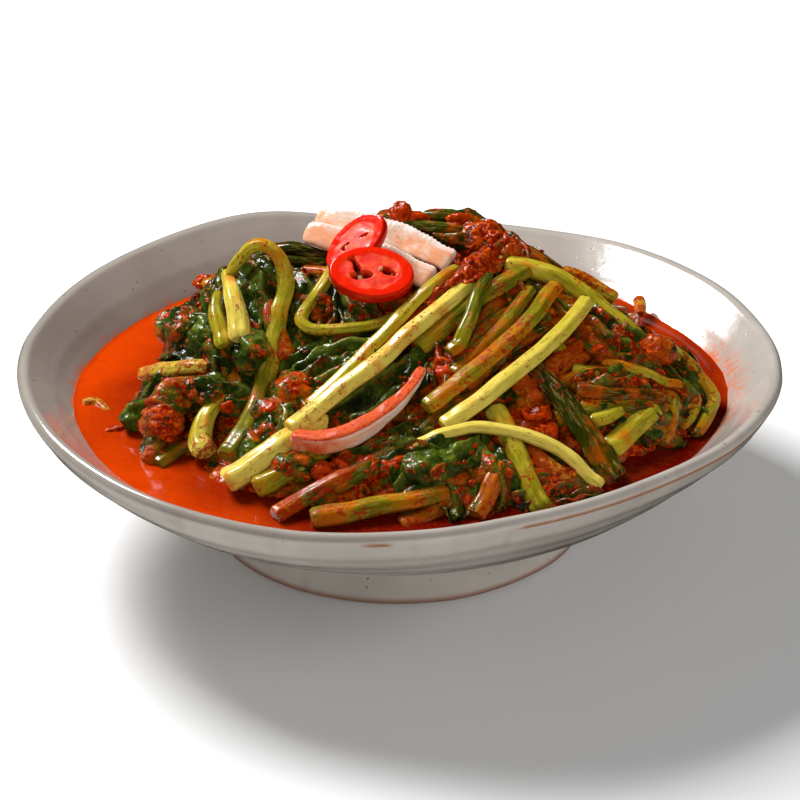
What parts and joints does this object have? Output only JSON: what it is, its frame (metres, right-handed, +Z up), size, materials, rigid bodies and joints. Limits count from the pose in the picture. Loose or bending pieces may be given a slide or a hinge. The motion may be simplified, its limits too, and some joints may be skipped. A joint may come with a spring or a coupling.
{
  "type": "kimchi in a bowl",
  "caption": "Young radish greens kimchi heaped in red chili brine in a shallow, slightly oval stoneware bowl on a foot ring, topped with red chili and onion slices",
  "frame": {"origin": "centre of the bounding box on the table, under the middle of the bowl", "axes": "+Z up, +X along the bowl's longer side to the viewer's right, +Y from the bowl's front to its back"},
  "size_m": [0.236, 0.2143, 0.0978],
  "materials": {
    "stoneware_glaze": "glossy pale grey glaze",
    "chili_brine": "wet gloss",
    "radish_greens": "wet gloss",
    "onion": "wet gloss",
    "red_chili": "wet gloss"
  },
  "bodies": {
    "root": {"bowl": "stoneware_glaze", "brine": "chili_brine", "greens_heap": "radish_greens", "chili_slice_front": "red_chili", "chili_slice_back": "red_chili", "onion_slice_front": "onion", "onion_slice_middle": "onion", "onion_slice_back": "onion"}
  },
  "joints": []
}
